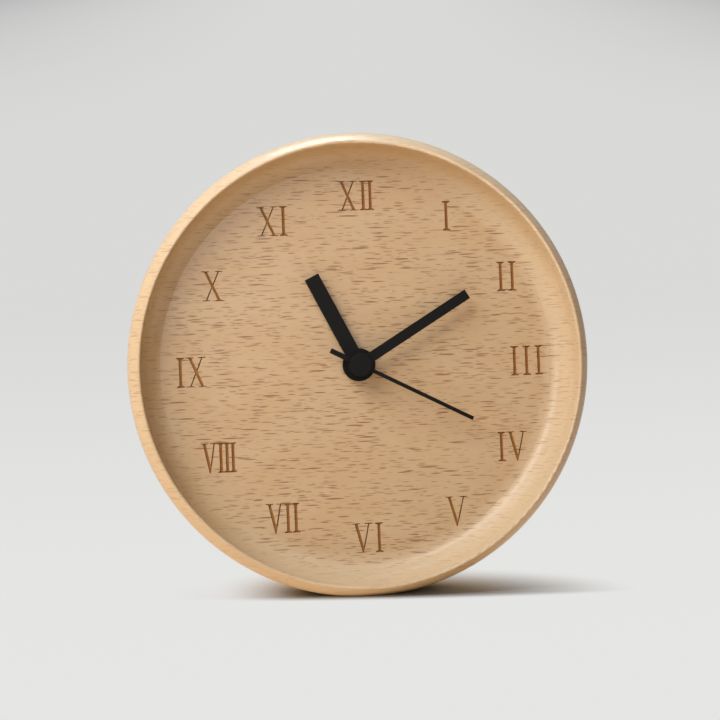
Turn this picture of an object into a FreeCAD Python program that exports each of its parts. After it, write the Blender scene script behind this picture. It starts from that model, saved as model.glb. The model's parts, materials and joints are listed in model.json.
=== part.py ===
"""Round wooden desk clock: a turned, dished case that leans back on a flat cut in its rim.

Lengths are millimetres and angles degrees. The clock is laid out in its own frame: the dial
face is the plane Z = 0, the hand arbors run along Z through the origin, the front is +Z and
the top is +Y. Every finished piece is then leaned back and moved by the same placement, so
that the case stands on its foot with the front toward -Y and +Z up.
"""
import FreeCAD, Part
import math
import os
import re

import Sketcher

# Driving dimensions, one cell of the sheet each.
SIZES = {
    # Turned case
    "case_diameter": 120.0,
    "case_depth": 40.0,
    "dish_depth": 9.0,
    "lip_width": 3.0,
    "crest_round": 0.5,
    "lip_round": 5.6,
    "wall_draft": 0.4,
    "cove_radius": 5.2,
    "web_thickness": 5.0,
    "side_taper": 4.5,
    "side_radius": 130.0,
    "back_edge_radius": 2.0,
    "recess_clearance": 1.5,
    "boss_clearance": 0.2,
    # Lean and foot
    "lean": 10.0,
    "foot_setback": 2.0,
    "foot_inset": 0.3,
    # Engraved numerals
    "numeral_height": 7.7,
    "numeral_margin": 7.1,
    "numeral_depth": 0.5,
    # Housing of the movement
    "shell_wall": 1.2,
    "front_shell_depth": 7.0,
    "housing_corner": 5.0,
    "train_margin": 1.8,
    "shell_lip": 0.5,
    "shell_lip_height": 1.5,
    "shell_lip_inset": 10.0,
    "boss_radius": 3.8,
    "boss_rise": 0.4,
    "pipe_clearance": 0.06,
    "pivot_clearance": 0.05,
    "pivot_depth": 0.7,
    "bearing_radius": 1.6,
    # Lugs and their wood screws
    "lug_length": 6.5,
    "lug_half": 4.5,
    "lug_thickness": 2.5,
    "lug_clearance": 0.2,
    "screw_radius": 1.3,
    "screw_length": 6.3,
    "screw_tip": 1.2,
    "screw_head_radius": 2.6,
    "screw_head_height": 1.7,
    "screw_slot": 0.6,
    "screw_slot_depth": 0.8,
    "pilot_spare": 0.3,
    # Battery cell and its contacts
    "cell_radius": 7.25,
    "cell_length": 50.5,
    "cell_shoulder": 0.5,
    "cell_crimp": 1.4,
    "nub_radius": 2.7,
    "nub_length": 1.3,
    "cell_gap": 0.6,
    "contact_space": 1.55,
    "contact_thickness": 0.3,
    "contact_touch": 0.05,
    "leaf_tip": 1.0,
    "leaf_width": 6.0,
    "strip_width": 3.4,
    "partition_gap": 1.0,
    # Train: centre distances of its arbors, and the wheels along them
    "third_distance": 9.18,
    "intermediate_distance": 6.72,
    "rotor_distance": 5.28,
    "reverse_distance": 9.6,
    "wheel_thickness": 0.8,
    "level_gap": 0.3,
    "pinion_overlap": 0.1,
    "arbor_reach": 0.5,
    "second_arbor_radius": 0.5,
    "third_arbor_radius": 0.45,
    "intermediate_arbor_radius": 0.4,
    "rotor_arbor_radius": 0.35,
    "reverse_arbor_radius": 0.9,
    "minute_pipe_radius": 1.5,
    "hour_pipe_radius": 2.5,
    "pipe_flange_radius": 2.0,
    "pipe_flange_height": 0.4,
    "clutch_radius": 3.0,
    # Middle plate
    "plate_thickness": 1.0,
    "plate_side_gap": 3.3,
    "plate_clearance": 0.4,
    "post_inset": 2.5,
    "post_radius": 1.5,
    "post_drop": 7.5,
    "post_pin_radius": 0.7,
    "post_pin_height": 1.4,
    # Stepping motor
    "magnet_radius": 1.6,
    "magnet_length": 1.5,
    "magnet_gap": 0.6,
    "rotor_sleeve_radius": 0.6,
    "stator_thickness": 0.9,
    "stator_half": 13.0,
    "stator_arm": 4.0,
    "stator_bar": 5.6,
    "stator_air": 0.4,
    "stator_stand": 0.9,
    "stator_pin_radius": 0.6,
    "coil_offset": 9.2,
    "core_width": 4.0,
    "bobbin_radius": 2.4,
    "bobbin_gap": 0.2,
    "bobbin_flange": 0.8,
    "bobbin_flange_radius": 4.2,
    "winding_radius": 3.8,
    "coil_headroom": 1.4,
    # Circuit board and what it carries
    "board_thickness": 0.8,
    "board_stand": 1.2,
    "board_height": 8.6,
    "board_post_inset": 8.8,
    "chip_radius": 2.2,
    "chip_height": 1.0,
    "chip_inset": 7.8,
    "crystal_radius": 1.0,
    "crystal_length": 6.0,
    "crystal_inset": 6.8,
    # Hands and hub
    "hour_length": 25.9,
    "hour_width": 3.95,
    "hour_thickness": 0.5,
    "hour_hub_radius": 4.3,
    "hour_hand_rise": 1.9,
    "hour_collar_radius": 3.4,
    "hour_collar_height": 1.0,
    "minute_length": 33.8,
    "minute_width": 2.65,
    "minute_thickness": 0.4,
    "minute_hub_radius": 3.5,
    "minute_hand_gap": 1.1,
    "minute_collar_radius": 2.4,
    "minute_collar_height": 0.7,
    "second_length": 32.8,
    "second_width": 1.0,
    "second_tail": 8.6,
    "second_tail_width": 1.35,
    "second_thickness": 0.3,
    "second_hub_radius": 2.4,
    "second_hand_gap": 1.0,
    "second_tube_radius": 1.0,
    "second_tube_height": 0.7,
    "cap_radius": 3.05,
    "cap_height": 1.0,
    "cap_round": 0.35,
    # Setting knob
    "knob_radius": 4.5,
    "knob_height": 2.8,
    "knob_gap": 0.4,
    "notch_radius": 0.45,
    "knob_notches": 20,
    # Time shown, clockwise from the top
    "hour_angle": 333.5,
    "minute_angle": 59.0,
    "second_angle": 117.4,
}

# Tooth counts: each pinion with the wheel that it drives or is driven by.
TEETH = {
    "rotor_teeth": 8,
    "intermediate_teeth": 40,
    "intermediate_leaves": 8,
    "second_teeth": 48,
    "second_leaves": 8,
    "third_teeth": 60,
    "third_leaves": 8,
    "centre_teeth": 64,
    "cannon_leaves": 12,
    "reverse_teeth": 36,
    "reverse_leaves": 10,
    "hour_teeth": 40,
}

# Sizes that follow from the ones above.
DERIVED = {
    "case_radius": "case_diameter / 2",
    "wall_radius": "case_radius - lip_width",
    "crest_x": "wall_radius + crest_round",
    "crest_z": "dish_depth - crest_round",
    "crest_to_lip": "crest_x - case_radius + lip_round",
    "lip_drop": "sqrt(pow(lip_round - crest_round; 2) - pow(crest_to_lip; 2))",
    "lip_z": "crest_z - lip_drop",
    "crest_share": "crest_round / (lip_round - crest_round)",
    "dial_radius": "wall_radius - wall_draft - cove_radius",
    "back_radius": "case_radius - side_taper",
    "back_z": "dish_depth - case_depth",
    "back_edge_z": "back_z + back_edge_radius",
    "foot_front_z": "dish_depth - foot_setback",
    "foot_radius": "case_radius - foot_inset",
    "foot_slope": "tan(lean * 1 deg)",
    "numeral_ring": "dial_radius - numeral_margin",
    # Arbor places
    "intermediate_y": "intermediate_distance",
    "rotor_y": "intermediate_distance + rotor_distance",
    "coil_y": "rotor_y + coil_offset",
    # Levels of the train, from the front wall to the back
    "front_inner_z": "-web_thickness - shell_wall",
    "hour_wheel_z": "front_inner_z - level_gap - wheel_thickness",
    "reverse_wheel_z": "hour_wheel_z - level_gap - wheel_thickness",
    "centre_wheel_z": "reverse_wheel_z - level_gap - wheel_thickness",
    "pipe_end_z": "centre_wheel_z - pipe_flange_height",
    "plate_front_z": "pipe_end_z - level_gap",
    "plate_back_z": "plate_front_z - plate_thickness",
    "third_wheel_z": "plate_back_z - level_gap - wheel_thickness",
    "second_wheel_z": "third_wheel_z - level_gap - wheel_thickness",
    "intermediate_wheel_z": "second_wheel_z - level_gap - wheel_thickness",
    "bearing_z": "intermediate_wheel_z - level_gap - pinion_overlap",
    "arbor_end_z": "bearing_z - pivot_depth",
    "front_pivot_z": "front_inner_z + arbor_reach",
    "plate_pivot_z": "plate_back_z + pivot_depth",
    "magnet_z": "plate_back_z - magnet_gap - magnet_length",
    "stator_front_z": "plate_back_z - stator_stand",
    "stator_back_z": "stator_front_z - stator_thickness",
    "core_z": "stator_back_z - stator_thickness / 2",
    # Housing
    "third_tip": "third_distance * third_teeth / (third_teeth + second_leaves)"
                 " * (1 + 2 * wheel_tip_share / third_teeth)",
    "inner_corner": "housing_corner - shell_wall",
    "partition_y": "-third_tip - train_margin",
    "cell_y": "partition_y - shell_wall - cell_gap - cell_radius",
    "cell_z": "front_inner_z - cell_gap - cell_radius",
    "leaf_half": "cell_radius + cell_gap - inner_corner",
    "housing_back_z": "cell_z - cell_radius - cell_gap",
    "back_inner_z": "housing_back_z + shell_wall",
    "split_z": "-web_thickness - front_shell_depth",
    "inner_half": "cell_length / 2 + contact_space",
    "inner_bottom": "cell_y - cell_radius - cell_gap",
    "shell_lip_half": "inner_half - shell_lip_inset + shell_wall",
    "plate_half": "inner_half - plate_side_gap",
    "post_x": "plate_half - post_inset",
    "board_post_x": "inner_half - board_post_inset",
    "chip_x": "inner_half - chip_inset",
    "crystal_x": "inner_half - crystal_inset - crystal_length",
    "stator_post_x": "stator_half - stator_arm / 2",
    "bobbin_half": "stator_half - stator_arm - bobbin_gap",
    "inner_top": "coil_y + bobbin_flange_radius + coil_headroom",
    "housing_half": "inner_half + shell_wall",
    "housing_bottom": "inner_bottom - shell_wall",
    "housing_top": "inner_top + shell_wall",
    "corner_x": "housing_half - housing_corner",
    "corner_y": "housing_top - housing_corner",
    "corner_reach": "sqrt(pow(corner_x; 2) + pow(corner_y; 2)) + housing_corner",
    "recess_radius": "corner_reach + recess_clearance",
    "centre_hole": "boss_radius + boss_clearance",
    "lug_x": "housing_half + lug_length / 2",
    "lug_back_z": "-web_thickness - lug_thickness",
    "board_back_z": "front_inner_z - board_stand - board_thickness",
    "board_half": "inner_half - contact_thickness",
    "board_bottom": "inner_top - plate_clearance - board_height",
    "post_top": "rotor_y + stator_bar / 2 - post_radius",
    "plate_top": "rotor_y + stator_bar / 2 + post_radius",
    # Hands, front to back
    "hour_top_z": "hour_hand_rise + hour_thickness",
    "minute_z": "hour_top_z + minute_hand_gap",
    "minute_top_z": "minute_z + minute_thickness",
    "second_z": "minute_top_z + second_hand_gap",
    "second_top_z": "second_z + second_thickness",
    "knob_front_z": "housing_back_z - knob_gap",
    "knob_back_z": "knob_front_z - knob_height",
    # Where the clock's own frame stands in the world
    "lean_sine": "sin(lean * 1 deg)",
    "lean_cosine": "cos(lean * 1 deg)",
    "foremost": "-crest_x * lean_sine - crest_z * lean_cosine - crest_round",
    "back_edge_y": "back_radius - back_edge_radius",
    "rearmost": "back_edge_y * lean_sine - back_edge_z * lean_cosine + back_edge_radius",
    "origin_y": "-(foremost + rearmost) / 2",
    "origin_z": "foot_radius * lean_cosine - foot_front_z * lean_sine",
}

# Tooth form, as shares of the module in height and of the pitch in width.
TOOTH_SHARES = {
    "wheel_tip_share": 0.6,
    "pinion_tip_share": 0.8,
    "root_share": 1.15,
    "wheel_top_share": 0.24,
    "wheel_base_share": 0.50,
    "pinion_top_share": 0.18,
    "pinion_base_share": 0.46,
}

# Each numeral: its rise from the hour's place on the ring, then its letters, each with its
# offset to the right of that place and its width, all as shares of the numeral height.
NUMERAL_SHARES = {
    1: (-0.03, [("I", 0.35, 0.27)]),
    2: (-0.05, [("I", 0.05, 0.27), ("I", 0.45, 0.27)]),
    3: (-0.07, [("I", -0.35, 0.27), ("I", 0.07, 0.27), ("I", 0.49, 0.27)]),
    4: (-0.10, [("I", -0.14, 0.27), ("V", 0.40, 0.55)]),
    5: (-0.12, [("V", 0.33, 0.59)]),
    6: (-0.11, [("V", -0.05, 0.53), ("I", 0.51, 0.27)]),
    7: (-0.09, [("V", -0.12, 0.47), ("I", 0.31, 0.25), ("I", 0.58, 0.25)]),
    8: (-0.07, [("V", -0.15, 0.43), ("I", 0.23, 0.22), ("I", 0.44, 0.22), ("I", 0.64, 0.22)]),
    9: (-0.04, [("I", -0.25, 0.27), ("X", 0.28, 0.52)]),
    10: (-0.05, [("X", 0.16, 0.55)]),
    11: (-0.04, [("X", -0.01, 0.55), ("I", 0.53, 0.27)]),
    12: (-0.03, [("X", -0.13, 0.52), ("I", 0.40, 0.25), ("I", 0.64, 0.25)]),
}

# Strokes of the letters, as shares of the numeral height.
LETTER_SHARES = {"stem": 0.10, "hairline": 0.045, "serif": 0.028, "bracket": 0.065, "reach": 0.13}

doc = FreeCAD.newDocument("wooden_desk_clock")
sheet = doc.addObject("Spreadsheet::Sheet", "Sizes")
nodes = []


def fill_sheet():
    """Write every driving size as a plain number and every derived one as a formula."""
    plain = {**SIZES, **TEETH, **TOOTH_SHARES}
    rows = [(name, str(size)) for name, size in plain.items()]
    rows += [(name, "=" + formula) for name, formula in DERIVED.items()]
    for row, (name, text) in enumerate(rows, start=1):
        sheet.set(f"A{row}", name)
        sheet.set(f"B{row}", text)
        sheet.setAlias(f"B{row}", name)
    doc.recompute()


def linked(text):
    """The text as an expression of another object, with each size read from the sheet."""
    known = {**SIZES, **TEETH, **TOOTH_SHARES, **DERIVED}
    return re.sub(r"[a-z][a-z_]*", lambda word: "Sizes." + word[0] if word[0] in known else word[0], text)


def number(text):
    """The present value of an expression of sizes."""
    value = sheet.evalExpression(linked(text))
    return float(getattr(value, "Value", value))


def bind(thing, **properties):
    """Tie properties of an object to expressions; a double underscore stands for a dot."""
    for name, text in properties.items():
        thing.setExpression(name.replace("__", "."), linked(text))


def new_body(name):
    return doc.addObject("PartDesign::Body", name)


def new_sketch(body, plane, height="0", turn="0", shift="0"):
    """A sketch on one of the body's own origin planes, raised, turned and shifted along X."""
    sketch = body.newObject("Sketcher::SketchObject", body.Name + "_sketch")
    face = next(item for item in body.Origin.OriginFeatures if item.Role == plane)
    sketch.AttachmentSupport = [(face, "")]
    sketch.MapMode = "FlatFace"
    bind(sketch, AttachmentOffset__Base__z=height, AttachmentOffset__Base__x=shift)
    bind(sketch, AttachmentOffset__Rotation__Angle=f"({turn}) * 1 deg")
    return sketch


def pin_point(sketch, edge, end, x, y):
    """Hold one end of an edge at a place given by two expressions."""
    for kind, axis, text in (("DistanceX", -2, x), ("DistanceY", -1, y)):
        if text == "0":
            sketch.addConstraint(Sketcher.Constraint("PointOnObject", edge, end, axis))
        else:
            index = sketch.addConstraint(Sketcher.Constraint(kind, -1, 1, edge, end, number(text)))
            sketch.setExpression(f"Constraints[{index}]", linked(text))


def arc_between(start, finish, radius, side):
    """Arc from start to finish with its centre on the left (side 1) or right (side -1)."""
    chord = finish - start
    height = math.sqrt(max(radius ** 2 - (chord.Length / 2) ** 2, 0))
    normal = FreeCAD.Vector(-chord.y, chord.x, 0).normalize()
    centre = (start + finish) / 2 + normal * height * side
    first, last = (start, finish) if side > 0 else (finish, start)
    begin = math.atan2(first.y - centre.y, first.x - centre.x)
    end = math.atan2(last.y - centre.y, last.x - centre.x)
    circle = Part.Circle(centre, FreeCAD.Vector(0, 0, 1), radius)
    return Part.ArcOfCircle(circle, begin, end)


def outline(sketch, points, arcs=None):
    """Closed outline through points; arcs gives (radius, side) of the edges that are round."""
    arcs = arcs or {}
    places = [FreeCAD.Vector(number(x), number(y), 0) for x, y in points]
    ends = []
    for index, place in enumerate(places):
        following = places[(index + 1) % len(places)]
        if index in arcs:
            radius, side = arcs[index]
            edge = sketch.addGeometry(arc_between(place, following, number(radius), side), False)
            limit = sketch.addConstraint(Sketcher.Constraint("Radius", edge, number(radius)))
            sketch.setExpression(f"Constraints[{limit}]", linked(radius))
            ends.append((edge, 1, 2) if side > 0 else (edge, 2, 1))
        else:
            edge = sketch.addGeometry(Part.LineSegment(place, following), False)
            ends.append((edge, 1, 2))
    for index, (edge, begin, finish) in enumerate(ends):
        pin_point(sketch, edge, begin, *points[index])
        following = ends[(index + 1) % len(ends)]
        sketch.addConstraint(Sketcher.Constraint("Coincident", edge, finish, following[0], following[1]))


def rectangle(sketch, left, right, bottom, top):
    outline(sketch, [(left, bottom), (right, bottom), (right, top), (left, top)])


def rounded(sketch, left, right, bottom, top, corner):
    """Rectangle whose four corners are quarter rounds."""
    near_left, near_right = f"{left} + {corner}", f"{right} - {corner}"
    near_bottom, near_top = f"{bottom} + {corner}", f"{top} - {corner}"
    points = [(near_left, bottom), (near_right, bottom), (right, near_bottom), (right, near_top),
              (near_right, top), (near_left, top), (left, near_top), (left, near_bottom)]
    outline(sketch, points, {edge: (corner, 1) for edge in (1, 3, 5, 7)})


def circle(sketch, x, y, radius):
    centre = FreeCAD.Vector(number(x), number(y), 0)
    edge = sketch.addGeometry(Part.Circle(centre, FreeCAD.Vector(0, 0, 1), number(radius)), False)
    if (x, y) == ("0", "0"):
        sketch.addConstraint(Sketcher.Constraint("Coincident", edge, 3, -1, 1))
    else:
        pin_point(sketch, edge, 3, x, y)
    limit = sketch.addConstraint(Sketcher.Constraint("Radius", edge, number(radius)))
    sketch.setExpression(f"Constraints[{limit}]", linked(radius))


def feature(body, kind, sketch, **properties):
    made = body.newObject("PartDesign::" + kind, body.Name + "_" + kind.lower())
    made.Profile = sketch
    bind(made, **properties)
    return made


def pad(body, bottom, length, shapes, turn="0"):
    """Add material upward from the level called bottom; shapes are (drawing, sizes...)."""
    sketch = new_sketch(body, "XY_Plane", bottom, turn)
    for draw, *values in shapes:
        draw(sketch, *values)
    return feature(body, "Pad", sketch, Length=length)


def pocket(body, top, depth, shapes):
    """Cut downward from the level called top; shapes are (drawing, sizes...)."""
    sketch = new_sketch(body, "XY_Plane", top)
    for draw, *values in shapes:
        draw(sketch, *values)
    return feature(body, "Pocket", sketch, Length=depth)


def cylinder(name, radius, bottom, top, x="0", y="0"):
    """Round bar along Z between two levels."""
    made = doc.addObject("Part::Cylinder", name)
    bind(made, Radius=radius, Height=f"({top}) - ({bottom})")
    bind(made, Placement__Base__x=x, Placement__Base__y=y, Placement__Base__z=bottom)
    return made


def cross_bar(name, radius, left, right, y, z):
    """Round bar along X between two places."""
    made = doc.addObject("Part::Cylinder", name)
    made.Placement.Rotation = FreeCAD.Rotation(FreeCAD.Vector(0, 1, 0), 90)
    bind(made, Radius=radius, Height=f"({right}) - ({left})")
    bind(made, Placement__Base__x=left, Placement__Base__y=y, Placement__Base__z=z)
    return made


def block(name, left, right, bottom, top, low, high):
    made = doc.addObject("Part::Box", name)
    bind(made, Length=f"({right}) - ({left})", Width=f"({top}) - ({bottom})", Height=f"({high}) - ({low})")
    bind(made, Placement__Base__x=left, Placement__Base__y=bottom, Placement__Base__z=low)
    return made


def fuse(name, pieces):
    made = doc.addObject("Part::MultiFuse", name)
    made.Shapes = pieces
    return made


def group(name, pieces):
    """Separate solids kept side by side in one piece's shape."""
    made = doc.addObject("Part::Compound", name)
    made.Links = pieces
    return made


def cut(name, base, tool):
    made = doc.addObject("Part::Cut", name)
    made.Base = base
    made.Tool = tool
    return made


def finish(thing, label):
    """Name a finished piece and lean it back onto the foot."""
    thing.Label = label
    thing.Placement = FreeCAD.Placement(FreeCAD.Vector(), FreeCAD.Rotation(FreeCAD.Vector(1, 0, 0), 90))
    bind(thing, Placement__Rotation__Angle="(90 - lean) * 1 deg")
    bind(thing, Placement__Base__y="origin_y", Placement__Base__z="origin_z")
    nodes.append(thing)


# Engraved numerals

def stem_letter(width):
    """Upright stroke with a bracketed serif at each end."""
    half, stem = width / 2, LETTER_SHARES["stem"] / 2
    serif, bracket = LETTER_SHARES["serif"], LETTER_SHARES["bracket"]
    lower = [(-stem, bracket), (-half, serif), (-half, 0), (half, 0), (half, serif), (stem, bracket)]
    return lower + [(x, 1 - y) for x, y in reversed(lower)]


def vee_letter(width):
    """Thick falling stroke and thin rising stroke that meet at the foot."""
    arm = (width - LETTER_SHARES["stem"]) / 2
    thick, thin, reach = LETTER_SHARES["stem"], LETTER_SHARES["hairline"], LETTER_SHARES["reach"]
    shoulder = 1 - LETTER_SHARES["serif"]
    toe = thin / 2
    notch_y = (thick + thin - 2 * toe) / (2 * arm + (thick + thin) / 2 - 2 * toe)
    notch_x = (thick - toe) * (1 - notch_y) + (thick / 2 - arm) * notch_y
    left = [(-arm + thick / 2, shoulder), (-arm + reach, shoulder), (-arm + reach, 1),
            (-arm - reach, 1), (-arm - reach, shoulder), (-arm - thick / 2, shoulder)]
    right = [(arm + thin / 2, shoulder), (arm + reach, shoulder), (arm + reach, 1),
             (arm - reach, 1), (arm - reach, shoulder), (arm - thin / 2, shoulder)]
    return [(-toe, 0), (toe, 0)] + right + [(notch_x, notch_y)] + left


def cross_letter(width):
    """Thick falling stroke crossed by a thin rising one, with a serif at each end."""
    arm = (width - LETTER_SHARES["stem"]) / 2
    thick, thin, reach = LETTER_SHARES["stem"], LETTER_SHARES["hairline"], LETTER_SHARES["reach"]
    serif = LETTER_SHARES["serif"]

    def falling(side, y):
        return side * thick / 2 + arm * (1 - 2 * y)

    def rising(side, y):
        return side * thin / 2 - arm * (1 - 2 * y)

    above = 1 / 2 + (thick + thin) / (8 * arm)
    beside = 1 / 2 + (thick - thin) / (8 * arm)
    top = 1 - serif
    end_right = [(falling(1, serif), serif), (arm + reach, serif), (arm + reach, 0),
                 (arm - reach, 0), (arm - reach, serif), (falling(-1, serif), serif)]
    end_left = [(rising(1, serif), serif), (-arm + reach, serif), (-arm + reach, 0),
                (-arm - reach, 0), (-arm - reach, serif), (rising(-1, serif), serif)]
    top_left = [(falling(-1, top), top), (-arm - reach, top), (-arm - reach, 1),
                (-arm + reach, 1), (-arm + reach, top), (falling(1, top), top)]
    top_right = [(rising(-1, top), top), (arm - reach, top), (arm - reach, 1),
                 (arm + reach, 1), (arm + reach, top), (rising(1, top), top)]
    below = (falling(-1, 1 - above), 1 - above)
    left = (falling(-1, 1 - beside), 1 - beside)
    crown = (falling(1, above), above)
    right = (falling(1, beside), beside)
    return [below] + end_left + [left] + top_left + [crown] + top_right + [right] + end_right


LETTERS = {"I": stem_letter, "V": vee_letter, "X": cross_letter}


def numeral_cutters():
    """One upright prism per letter, sunk from just above the dial to the engraved depth."""
    height, depth = number("numeral_height"), number("numeral_depth")
    ring = number("numeral_ring")
    cutters = []
    for hour, (rise_share, letters) in NUMERAL_SHARES.items():
        angle = math.radians(360 / 12 * hour)
        foot = ring * math.cos(angle) + (rise_share - 1 / 2) * height
        for letter, offset_share, width_share in letters:
            middle = ring * math.sin(angle) + offset_share * height
            corners = [FreeCAD.Vector(middle + x * height, foot + y * height, -depth)
                       for x, y in LETTERS[letter](width_share)]
            face = Part.Face(Part.makePolygon(corners + corners[:1]))
            cutters.append(face.extrude(FreeCAD.Vector(0, 0, 2 * depth)))
    return cutters


# Case

def case_profile(sketch):
    """Half section of the turned case: dish, lip, tapered side and closed back."""
    outline(sketch, [
        ("0", "0"),
        ("dial_radius", "0"),
        ("dial_radius + cove_radius", "cove_radius"),
        ("wall_radius", "crest_z"),
        ("crest_x + crest_to_lip * crest_share", "crest_z + lip_drop * crest_share"),
        ("case_radius", "lip_z"),
        ("back_radius", "back_edge_z"),
        ("back_radius - back_edge_radius", "back_z"),
        ("0", "back_z"),
    ], {1: ("cove_radius", 1), 3: ("crest_round", -1), 4: ("lip_round", -1),
        5: ("side_radius", -1), 6: ("back_edge_radius", -1)})


def foot_profile(sketch):
    """Everything below the plane that the leaning clock stands on."""
    below = "-foot_radius - case_radius"
    outline(sketch, [
        ("-foot_radius - foot_slope * (dish_depth - foot_front_z)", "dish_depth"),
        (below, "dish_depth"),
        (below, "back_z"),
        ("-foot_radius - foot_slope * (back_z - foot_front_z)", "back_z"),
    ])


def wooden_case():
    body = new_body("turned_case")
    sketch = new_sketch(body, "XZ_Plane")
    case_profile(sketch)
    turned = body.newObject("PartDesign::Revolution", "turned_blank")
    turned.Profile = sketch
    turned.ReferenceAxis = (sketch, ["V_Axis"])
    turned.Angle = 360
    pocket(body, "-web_thickness", "case_depth", [(circle, "0", "0", "recess_radius")])
    pocket(body, "dish_depth", "case_depth", [(circle, "0", "0", "centre_hole")])
    pocket(body, "screw_length - web_thickness - lug_thickness + pilot_spare",
           "screw_length + pilot_spare",
           [(circle, "-lug_x", "0", "screw_radius"), (circle, "lug_x", "0", "screw_radius")])
    foot = new_sketch(body, "YZ_Plane")
    foot_profile(foot)
    feature(body, "Pocket", foot, Length="2 * case_diameter").Midplane = True
    cutters = numeral_cutters()
    engraving = doc.addObject("Part::Feature", "numeral_engraving")
    engraving.Shape = cutters[0].multiFuse(cutters[1:])
    finish(cut("engraved_case", body, engraving), "wooden_case")


# Housing of the movement

def at_posts(radius):
    """A circle of that radius at each of the four posts of the train plate."""
    return [(circle, x, y, radius) for x in ("-post_x", "post_x") for y in ("-post_drop", "post_top")]


def front_housing():
    body = new_body("front_shell")
    outside = (rounded, "-housing_half", "housing_half", "housing_bottom", "housing_top", "housing_corner")
    inside = (rounded, "-inner_half", "inner_half", "inner_bottom", "inner_top", "inner_corner")
    pad(body, "split_z", "front_shell_depth", [outside])
    pocket(body, "front_inner_z", "front_shell_depth", [inside])
    pad(body, "lug_back_z", "lug_thickness",
        [(rectangle, "-housing_half - lug_length", "shell_wall / 2 - housing_half", "-lug_half", "lug_half"),
         (rectangle, "housing_half - shell_wall / 2", "housing_half + lug_length", "-lug_half", "lug_half")])
    pad(body, "split_z", "front_inner_z - split_z",
        [(rectangle, "partition_gap - inner_half", "inner_half - partition_gap",
          "partition_y - shell_wall", "partition_y")])
    pad(body, "plate_front_z", "front_inner_z - plate_front_z", at_posts("post_radius"))
    pad(body, "plate_front_z - post_pin_height", "front_inner_z - plate_front_z + post_pin_height",
        at_posts("post_pin_radius"))
    board_middle = "board_bottom + board_height / 2"
    pad(body, "front_inner_z - board_stand", "board_stand",
        [(circle, x, board_middle, "post_radius") for x in ("-board_post_x", "board_post_x")])
    pad(body, "-web_thickness", "web_thickness + boss_rise", [(circle, "0", "0", "boss_radius")])
    pocket(body, "boss_rise", "boss_rise - split_z",
           [(circle, "0", "0", "hour_pipe_radius + pipe_clearance")])
    pocket(body, "front_pivot_z + pivot_clearance", "arbor_reach + pivot_clearance",
           [(circle, "third_distance", "0", "third_arbor_radius + pivot_clearance"),
            (circle, "-reverse_distance", "0", "reverse_arbor_radius + pivot_clearance")])
    pocket(body, "-web_thickness", "2 * lug_thickness",
           [(circle, x, "0", "screw_radius + lug_clearance") for x in ("-lug_x", "lug_x")])
    finish(body, "movement_front_housing")


def rear_housing():
    body = new_body("rear_shell")
    outside = (rounded, "-housing_half", "housing_half", "housing_bottom", "housing_top", "housing_corner")
    inside = (rounded, "-inner_half", "inner_half", "inner_bottom", "inner_top", "inner_corner")
    pad(body, "housing_back_z", "split_z - housing_back_z", [outside])
    pocket(body, "split_z", "split_z - back_inner_z", [inside])
    pad(body, "back_inner_z", "split_z - back_inner_z",
        [(rectangle, "partition_gap - inner_half", "inner_half - partition_gap",
          "partition_y - shell_wall", "partition_y")])
    pad(body, "back_inner_z", "bearing_z - back_inner_z",
        [(circle, x, y, "bearing_radius") for x, y in
         (("0", "0"), ("third_distance", "0"), ("0", "intermediate_y"), ("0", "rotor_y"))])
    pad(body, "back_inner_z", "split_z + shell_lip_height - back_inner_z",
        [(rectangle, "-shell_lip_half", "shell_lip_half", "inner_top - shell_lip", "inner_top"),
         (rectangle, "-shell_lip_half", "shell_lip_half", "inner_bottom", "inner_bottom + shell_lip")])
    pocket(body, "back_inner_z", "2 * shell_wall",
           [(rectangle, "partition_gap - inner_half", "inner_half - partition_gap",
             "inner_bottom + shell_lip", "partition_y - shell_wall")])
    pocket(body, "bearing_z", "pivot_depth + pivot_clearance",
           [(circle, "0", "0", "second_arbor_radius + pivot_clearance"),
            (circle, "third_distance", "0", "third_arbor_radius + pivot_clearance"),
            (circle, "0", "intermediate_y", "intermediate_arbor_radius + pivot_clearance"),
            (circle, "0", "rotor_y", "rotor_arbor_radius + pivot_clearance")])
    pocket(body, "back_inner_z", "2 * shell_wall",
           [(circle, "-reverse_distance", "0", "reverse_arbor_radius + pivot_clearance")])
    finish(body, "movement_rear_housing")


def mounting_screws():
    """Two pan-head wood screws through the lugs into the web of the case."""
    screws = []
    for side, x in (("left", "-lug_x"), ("right", "lug_x")):
        shank_top = "lug_back_z + screw_length - screw_tip"
        head_back = "lug_back_z - screw_head_height"
        shank = cylinder(side + "_shank", "screw_radius", "lug_back_z - screw_head_height / 2", shank_top, x)
        head = cylinder(side + "_head", "screw_head_radius", head_back, "lug_back_z", x)
        point = doc.addObject("Part::Cone", side + "_point")
        bind(point, Radius1="screw_radius", Radius2="screw_slot / 2", Height="screw_tip")
        bind(point, Placement__Base__x=x, Placement__Base__z=shank_top)
        slot_back = "lug_back_z - 2 * screw_head_height"
        slot_front = head_back + " + screw_slot_depth"
        arms = [block(side + "_slot_across", f"{x} - screw_radius", f"{x} + screw_radius",
                      "-screw_slot / 2", "screw_slot / 2", slot_back, slot_front),
                block(side + "_slot_up", f"{x} - screw_slot / 2", f"{x} + screw_slot / 2",
                      "-screw_radius", "screw_radius", slot_back, slot_front)]
        whole = fuse(side + "_screw_blank", [shank, head, point])
        screws.append(cut(side + "_screw", whole, fuse(side + "_slot", arms)))
    finish(group("screw_pair", screws), "mounting_screws")


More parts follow.
